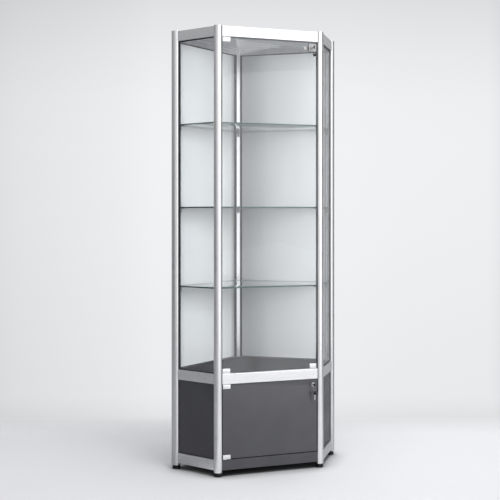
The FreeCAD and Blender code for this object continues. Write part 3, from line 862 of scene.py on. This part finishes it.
@dataclass
class LevellingFoot(SubAssembly):
    """Black two-tier levelling foot on a threaded stem."""

    corner: str = "front_left"
    pad_radius: float = 18.5 * MM
    pad_height: float = 9.0 * MM
    neck_radius: float = 16.0 * MM
    collar_radius: float = 17.5 * MM
    collar_low: float = 12.0 * MM
    collar_high: float = 17.8 * MM
    stem_radius: float = 4.0 * MM
    thread_pitch: float = 1.25 * MM
    thread_depth: float = 0.6 * MM
    grips: int = 18
    grip_depth: float = 0.35 * MM
    steps: int = 144
    sharp: float = 50.0

    def outline(self, top: float) -> Outline:
        """Radius and height of the turned foot.

        Args:
            top: height of the stem's end.

        Returns:
            Points from the floor up.
        """
        pad, neck, collar = self.pad_radius, self.neck_radius, self.collar_radius
        rim, low, high = self.pad_height, self.collar_low, self.collar_high
        # each corner is a radius and a height, both eased by millimetres outward and upward
        corners = ((pad, 0, -3.2, 0), (pad, 0, -0.9, 0), (pad, 0, -0.25, 0.5), (pad, 0, 0, 1.5),
                   (pad, rim, 0, -1.9), (pad, rim, -0.5, -0.6), (pad, rim, -1.5, 0),
                   (neck, rim, 0.4, 0.2), (neck, rim, 0, 0.7), (neck, low, 0, -0.6), (neck, low, 0.5, 0),
                   (collar, low, -0.4, 0.2), (collar, low, 0, 0.8), (collar, high, 0, -1.0),
                   (collar, high, -0.5, -0.2), (collar, high, -1.2, 0), (self.stem_radius, high, 0, 0))
        points = [(radius + out * MM, height + up * MM) for radius, height, out, up in corners]
        height, pitch, root = high, self.thread_pitch, self.stem_radius - self.thread_depth
        while height + pitch < top:
            points += [(self.stem_radius, height + 0.25 * pitch), (root, height + 0.75 * pitch)]
            height += pitch
        return points + [(root, top)]

    def gripped(self, radius: float, height: float, angle: float) -> float:
        """Radius with shallow finger grips round the pad."""
        if radius < self.pad_radius - 0.3 * MM or height > self.pad_height:
            return radius
        return radius - self.grip_depth * max(0.0, math.cos(self.grips * angle)) ** 2

    def build(self, finish: Material) -> None:
        """Build the foot.

        Args:
            finish: its moulded black nylon.
        """
        node = "foot_" + self.corner
        mesh = lathe(self.outline(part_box(node)[1].z), self.steps, self.gripped)
        centre = middle(node)
        bmesh.ops.translate(mesh, verts=mesh.verts, vec=(centre.x, centre.y, 0.0))
        self.fit(to_piece(node + "_turned", mesh, self.sharp), node, Slot.BLACK_PLASTIC, finish, node)


@dataclass
class Doors(SubAssembly):
    """Glass door and cupboard door with their corner patches, bushes and catch."""

    arris: float = 0.6 * MM
    board_round: float = 1.0 * MM
    patch_round: float = 0.7 * MM
    catch_round: float = 0.6 * MM
    magnet_round: float = 0.8 * MM

    def build(self) -> None:
        """Build both leaves and what they turn on and close against."""
        chrome = SATIN_CHROME.material()
        glass = Glazing("door_glass", Side.FRONT.inward).material()
        self.eased("glass_door", "glass_door", Slot.GLASS, glass, self.arris, 2)
        self.eased("cupboard_door", "cupboard_door", Slot.BOARD, DOOR_BOARD.material(), self.board_round)
        for door in DOORS:
            self.eased(door + "_pivots", door, Slot.BRIGHT_METAL, chrome, self.patch_round)
        self.eased("catch_plate", "glass_door", Slot.BRIGHT_METAL, chrome, self.catch_round)
        self.eased("catch_magnet", "cabinet", Slot.BRIGHT_METAL, chrome, self.magnet_round)
        self.dress("pivot_bushes", BUSH_NYLON.material())


@dataclass
class FrontShadowStrips(SubAssembly):
    """Black lip under the front's top and middle rails, and a shim at each end of both: dark strips that are
    painted shadow for the gap under each rail and the joints at its ends.
    """

    body: str = "cabinet"
    levels: tuple[str, ...] = ("top", "middle")
    lip_drop: float = 3.2 * MM
    lip_depth: float = 2.0 * MM
    lip_setback: float = 0.5 * MM
    lip_seat: float = 0.2 * MM
    past_patch: float = 4.0 * MM
    shim_width: float = 2.0 * MM
    shim_depth: float = 1.0 * MM
    shim_proud: float = 0.3 * MM

    def bar(self, name: str, low: Sequence[float], high: Sequence[float], finish: Material) -> None:
        """Fit a straight strip from its left, front and bottom corner to the opposite one."""
        outline = [(low[0], low[1]), (high[0], low[1]), (high[0], high[1]), (low[0], high[1])]
        self.fit(to_piece(name, plate(outline, low[2], high[2])), self.body, Slot.GASKET, finish)

    def build(self) -> None:
        """Build the lips and the shims."""
        finish = SHADOW_STRIP_RUBBER.material()
        for level, door in zip(self.levels, DOORS):
            low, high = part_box(f"{level}_rail_front")
            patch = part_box(door + "_pivots")[1]
            near = low.y + self.lip_setback
            self.bar(level + "_rail_lip", (patch.x + self.past_patch, near, low.z - self.lip_drop),
                     (high.x - self.past_patch, near + self.lip_depth, low.z + self.lip_seat), finish)
            for end, start in (("left", low.x), ("right", high.x - self.shim_width)):
                self.bar(f"{level}_rail_shim_{end}", (start, low.y - self.shim_proud, low.z),
                         (start + self.shim_width, low.y + self.shim_depth, high.z), finish)


@dataclass
class CornerWedges(SubAssembly):
    """Black wedges that hold both back panes against the back post, in runs between the shelves; wide and
    darker than the gaskets, they are also painted shade on the post's flanks and the panes beside it.
    """

    body: str = "cabinet"
    runs: tuple[str, ...] = ("deck_panel", *SHELVES, "ceiling_panel")
    groove_depth: float = 5.0 * MM
    play: float = 0.1 * MM
    flank: float = 7.0 * MM
    groove_lip: float = 1.5 * MM
    lip_width: float = 4.0 * MM
    # the foot reaches wide over the pane as painted shade beside the post
    foot_width: float = 9.0 * MM
    foot_height: float = 0.9 * MM
    nose_width: float = 1.2 * MM
    clear: float = 1.5 * MM
    sharp: float = 20.0

    def section(self) -> Outline:
        """Outline of the wedge.

        Returns:
            Points as distance from the post's flank along the pane, and height over the pane.
        """
        over = self.groove_lip + self.play
        top = self.groove_lip + self.flank - self.play
        lip = self.lip_width + self.play
        return [(self.play, over), (self.play, top), (self.nose_width, top),
                (self.foot_width, self.foot_height), (self.foot_width, self.play),
                (lip, self.play), (lip, over)]

    def build(self) -> None:
        """Build the wedges along both back panes."""
        finish = WEDGE_AND_SHADE_RUBBER.material()
        for side, away, far in ((Side.BACK_RIGHT, -1.0, max), (Side.BACK_LEFT, 1.0, min)):
            pane = [vertex.co for vertex in self.node("glass_" + side.label).data.vertices]
            face = max(point.dot(side.inward) for point in pane)
            flank = far(point.dot(side.along) for point in pane) + away * self.groove_depth
            outline = [(side.along * (flank + away * out) + side.inward * (face + over)).xy
                       for out, over in self.section()]
            for run, (below, above) in enumerate(zip(self.runs, self.runs[1:]), 1):
                mesh = plate(outline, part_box(below)[1].z + self.clear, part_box(above)[0].z - self.clear)
                piece = to_piece(f"wedge_{side.label}_{run}", mesh, self.sharp)
                self.fit(piece, self.body, Slot.GASKET, finish)


@dataclass
class LockSet(SubAssembly):
    """Cam lock of one door with the key in it, the split ring and the spare key."""

    door: str = "glass_door"
    case_round: float = 0.5 * MM
    barrel_round: float = 0.25 * MM
    bow_length: float = 19.6 * MM
    bow_width: float = 14.0 * MM
    bow_thickness: float = 2.2 * MM
    bow_steps: int = 64
    squareness: float = 3.2
    rim: Stops = ((0.82, -0.5), (0.95, -0.42), (1.0, -0.2), (1.0, 0.2), (0.95, 0.42), (0.82, 0.5))
    hole_radius: float = 3.3 * MM
    hole_inset: float = 5.4 * MM
    hole_rim: Stops = ((1 / 0.93, 0.5), (1.0, 0.3), (1.0, -0.3), (1 / 0.93, -0.5))
    blade_length: float = 23.0 * MM
    blade_width: float = 6.5 * MM
    blade_thickness: float = 1.9 * MM
    blade_root: float = 1.5 * MM
    blade_round: float = 0.18 * MM
    cuts: tuple[float, ...] = (1.1, 0.4, 1.5, 0.8, 1.3)
    uncut: float = 1.6
    ring_radius: float = 13.5 * MM
    ring_wire: float = 0.42 * MM
    ring_turns: float = 2.06
    ring_start: float = -0.7
    ring_steps: int = 168
    ring_gap: float = 1.1
    ring_heading: float = math.pi / 4
    ring_sharp: float = 80.0

    def loop(self, mesh: Mesh, centre: float, half: tuple[float, float], level: float,
             power: float = 2.0) -> list[bmesh.types.BMVert]:
        """Loop of corners round a point on the key's length.

        Args:
            mesh: the bow's geometry, which gets the corners.
            centre: place along the key.
            half: half its width and half its length.
            level: height as a share of the bow's thickness.
            power: 2 for an oval, more for a squarer loop.

        Returns:
            The corners in order.
        """
        corners = []
        for step in range(self.bow_steps):
            angle = 2 * math.pi * step / self.bow_steps
            x, y = math.cos(angle), math.sin(angle)
            swell = (abs(x) ** power + abs(y) ** power) ** (-1 / power)
            corners.append(mesh.verts.new((x * swell * half[0], centre + y * swell * half[1],
                                           level * self.bow_thickness)))
        return corners

    def bow(self) -> Mesh:
        """Moulded bow: an oval plate behind the origin with a hole for the ring.

        Returns:
            Its geometry, flat in X and Y, with the key's blade along +Y.
        """
        mesh = bmesh.new()
        width, length, hole = self.bow_width / 2, self.bow_length / 2, self.hole_radius
        loops = [self.loop(mesh, -length, (width * share, length * share), level, self.squareness)
                 for share, level in self.rim]
        loops += [self.loop(mesh, self.hole_inset - self.bow_length, (hole * share, hole * share), level)
                  for share, level in self.hole_rim]
        skin(mesh, loops + loops[:1])
        return mesh

    def blade(self) -> Mesh:
        """Nickel blade along +Y with cuts in one edge.

        Returns:
            Its geometry.
        """
        half, end = self.blade_width / 2, self.blade_length
        pitch = end / (len(self.cuts) + self.uncut)
        y = pitch * 0.7
        outline = [(-half, -self.blade_root), (half, -self.blade_root), (half, y * 0.8)]
        for cut in self.cuts:
            depth = half - cut * MM
            outline += [(depth, y + pitch * 0.3), (depth, y + pitch * 0.6), (half, y + pitch)]
            y += pitch
        outline += [(half - 0.4 * MM, end - 1.2 * MM), (half - 2.2 * MM, end), (1.2 * MM - half, end),
                    (-half, end - 1.0 * MM)]
        mesh = plate(outline, -self.blade_thickness / 2, self.blade_thickness / 2)
        round_edges(mesh, self.blade_round, 1)
        return mesh

    def frames(self) -> tuple[Matrix, Matrix]:
        """Places of the key in the lock and of the hanging spare.

        Returns:
            The two frames; local +Y is along the blade and local Z across the bow.
        """
        root = middle(self.door + "_key")
        root.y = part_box(self.door + "_key")[0].y + self.bow_length
        turned = Matrix.Translation(root) @ Matrix.Rotation(math.pi / 2, 4, "Y")
        hung = middle(self.door + "_spare_key")
        hung.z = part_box(self.door + "_spare_key")[1].z - self.bow_length
        hanging = Matrix.Translation(hung) @ Matrix.Rotation(-math.pi / 2, 4, "X")
        return turned, hanging

    def split_ring(self) -> Mesh:
        """Split ring of two turns through both bows.

        Returns:
            Its geometry.
        """
        centre = middle(self.door + "_key_ring")
        normal = Vector((math.sin(self.ring_heading), -math.cos(self.ring_heading), 0.0))
        side = Vector((normal.y, -normal.x, 0.0))
        points = []
        for step in range(self.ring_steps + 1):
            share = step / self.ring_steps
            turn = self.ring_turns * 2 * math.pi * share + self.ring_start
            outward = side * math.cos(turn) + Vector((0, 0, 1)) * math.sin(turn)
            shift = (share - 0.5) * 2 * self.ring_wire * self.ring_gap
            points.append(centre + outward * self.ring_radius + normal * shift)
        return tube(points, self.ring_wire)

    def build(self, chrome: Material, nickel: Material, moulded: Material) -> None:
        """Build the case, the barrel, both keys and the ring.

        Args:
            chrome: finish of the case.
            nickel: finish of the barrel, its cam, the blades and the ring.
            moulded: finish of the bows.
        """
        self.eased(self.door + "_lock_case", self.door, Slot.BRIGHT_METAL, chrome, self.case_round)
        self.eased(self.door + "_lock_barrel", self.door + "_barrel", Slot.BRIGHT_METAL, nickel,
                   self.barrel_round, 2)
        for label, node, place in zip(("_key", "_spare"), ("_key", "_spare_key"), self.frames()):
            body = self.door + label
            for part, mesh, slot, finish, nodes in (
                    ("_bow", self.bow(), Slot.KEY_BLACK, moulded, (self.door + node,)),
                    ("_blade", self.blade(), Slot.BRIGHT_METAL, nickel, ())):
                bmesh.ops.transform(mesh, matrix=place, verts=mesh.verts)
                self.fit(to_piece(body + part, mesh), body, slot, finish, *nodes)
        ring = to_piece(self.door + "_split_ring", self.split_ring(), self.ring_sharp)
        self.fit(ring, self.door + "_spare", Slot.BRIGHT_METAL, nickel, self.door + "_key_ring")


# --- studio


@dataclass
class Viewpoint:
    """Level camera: frame size in pixels, focal length and horizon in those pixels, place in metres."""

    frame_pixels: float = 500.0
    focal_pixels: float = 937.4
    horizon_row: float = 213.7
    turn: float = 19.24
    aside: float = 0.0932
    ahead: float = 4.1794
    height: float = 1.1533
    front_y: float = -0.23036
    sensor: float = 36.0

    def axes(self) -> tuple[Vector, Vector]:
        """Directions in plan across and into the view."""
        angle = math.radians(self.turn)
        across = Vector((math.cos(angle), -math.sin(angle), 0.0))
        return across, Vector((math.sin(angle), math.cos(angle), 0.0))

    def eye(self) -> Vector:
        """Place of the camera."""
        across, into = self.axes()
        return Vector((0.0, self.front_y, self.height)) - across * self.aside - into * self.ahead

    def build(self) -> None:
        """Make the camera and set it as the scene's."""
        data = bpy.data.cameras.new("viewpoint")
        data.sensor_width = self.sensor
        data.lens = self.focal_pixels / self.frame_pixels * self.sensor
        data.shift_y = (self.horizon_row - self.frame_pixels / 2) / self.frame_pixels
        camera = bpy.data.objects.new("viewpoint", data)
        camera.location = self.eye()
        camera.rotation_euler = (math.pi / 2, 0.0, -math.radians(self.turn))
        bpy.context.scene.collection.objects.link(camera)
        bpy.context.scene.camera = camera


@dataclass(frozen=True)
class Softbox:
    """White rectangular lamp aimed at the cabinet, placed in metres and degrees."""

    name: str
    bearing: float
    distance: float
    height: float
    size: tuple[float, float]
    watts: float
    aim: tuple[float, float, float] = (0.0, 0.0, 1.0)
    mirrored: bool = True
    on_floor: bool = False

    def build(self, view: Viewpoint, sheet: Object) -> None:
        """Hang the lamp.

        Args:
            view: the camera, from whose line of sight the bearing is measured to the right.
            sheet: the paper sweep, which a lamp that is shaded from the floor leaves dark.
        """
        across, into = view.axes()
        angle = math.radians(self.bearing)
        place = (across * math.sin(angle) - into * math.cos(angle)) * self.distance
        data = bpy.data.lights.new(self.name, "AREA")
        data.shape = "RECTANGLE"
        data.size, data.size_y = self.size
        data.energy = self.watts
        lamp = bpy.data.objects.new(self.name, data)
        lamp.location = place + Vector((0.0, 0.0, self.height))
        lamp.visible_glossy = self.mirrored
        lamp.rotation_euler = (Vector(self.aim) - lamp.location).to_track_quat("-Z", "Y").to_euler()
        bpy.context.scene.collection.objects.link(lamp)
        if not self.on_floor:
            shaded = bpy.data.collections.new(self.name + "_shaded")
            shaded.objects.link(sheet)
            lamp.light_linking.receiver_collection = shaded
            shaded.collection_objects[0].light_linking.link_state = "EXCLUDE"


@dataclass
class Studio:
    """Pale sweep of paper, soft lamps and a plain world."""

    view: Viewpoint
    wall_distance: float = 0.78
    cove_radius: float = 0.30
    cove_steps: int = 24
    seam: float = -2.0
    reach: float = 7.0
    wall_height: float = 4.5
    seen: float = 0.86
    cast: Colour = (0.985, 0.99, 1.0)
    by_height: Stops = ((-1.0, 0.05), (-0.05, 0.07), (0.03, 0.20), (0.2, 0.46), (0.6, 0.6), (1.0, 0.62))
    by_bearing: Stops = (
        (-180.0, 1.05), (-60.0, 1.05), (-45.0, 1.25), (65.0, 1.25), (80.0, 0.25), (112.0, 0.25), (130.0, 0.7),
        (180.0, 0.9))
    lamps: tuple[Softbox, ...] = (
        Softbox("left_softbox", -14.0, 3.3, 1.5, (2.6, 2.6), 9.5),
        Softbox("right_softbox", 42.0, 3.2, 1.6, (3.8, 3.1), 49.0),
        Softbox("top_softbox", 50.0, 1.0, 3.6, (2.6, 2.6), 68.0, on_floor=True),
        Softbox("fill_lamp", 48.0, 4.0, 1.9, (1.3, 1.3), 92.0, mirrored=False))

    def sweep(self) -> Object:
        """Floor, cove and wall as one sheet, square to the line of sight.

        Returns:
            The sheet, which faces the cabinet.
        """
        start = self.wall_distance - self.cove_radius
        profile = [(-self.reach, 0.0), (self.seam, 0.0), (0.0, 0.0), (start, 0.0)]
        for step in range(1, self.cove_steps + 1):
            angle = math.pi / 2 * step / self.cove_steps
            profile.append((start + self.cove_radius * math.sin(angle),
                            self.cove_radius * (1 - math.cos(angle))))
        profile.append((self.wall_distance, self.wall_height))
        mesh = bmesh.new()
        rows = [[mesh.verts.new((x, depth, height)) for x in (-self.reach, 0.0, self.reach)]
                for depth, height in profile]
        for low, high in zip(rows, rows[1:]):
            for index in range(len(low) - 1):
                mesh.faces.new((low[index], low[index + 1], high[index + 1], high[index]))
        sheet = to_piece("paper_sweep", mesh, 60.0)
        sheet.data.flip_normals()
        sheet.rotation_euler = (0.0, 0.0, -math.radians(self.view.turn))
        return sheet

    def surroundings(self) -> None:
        """World: a pale room to the eye; to the object, dim at the horizon and uneven round it."""
        g = WorldGraph("studio")
        across, into = self.view.axes()
        height = g.add("SeparateXYZ", {0: g.place}).outputs["Z"]
        bearing = g.math("ARCTAN2", g.dot(g.place, across), g.dot(g.place, -into))
        degrees = g.math("DEGREES", bearing)
        room = g.times(g.ramp(height, self.by_height), g.ramp(degrees, self.by_bearing))
        eye = g.add("LightPath").outputs["Is Camera Ray"]
        colour = g.blend(eye, g.times(room, self.cast), tuple(self.seen * share for share in self.cast))
        bpy.context.scene.world = g.finish(g.add("Background", {"Color": colour}).outputs[0])

    def build(self) -> None:
        """Build the sweep, the world and the lamps."""
        sheet = self.sweep()
        sheet.data.materials.append(Paper("studio_paper").material())
        self.surroundings()
        for lamp in self.lamps:
            lamp.build(self.view, sheet)


def main() -> None:
    """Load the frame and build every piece."""
    logging.basicConfig(level=logging.INFO, format="%(name)s: %(message)s")
    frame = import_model()
    view = Viewpoint()
    view.build()
    Studio(view).build()
    for group in (ExtrudedFrame, Infill, Shelves):
        group(frame).build()
    nylon = FOOT_NYLON.material()
    for corner in CORNERS:
        LevellingFoot(frame, corner).build(nylon)
    for group in (Doors, FrontShadowStrips, CornerWedges):
        group(frame).build()
    lock_finishes = [finish.material() for finish in (LOCK_CHROME, KEY_NICKEL, KEY_BLACK)]
    for door in DOORS:
        LockSet(frame, door).build(*lock_finishes)
    bpy.context.scene.view_settings.view_transform = "Standard"


if __name__ == "__main__":
    main()
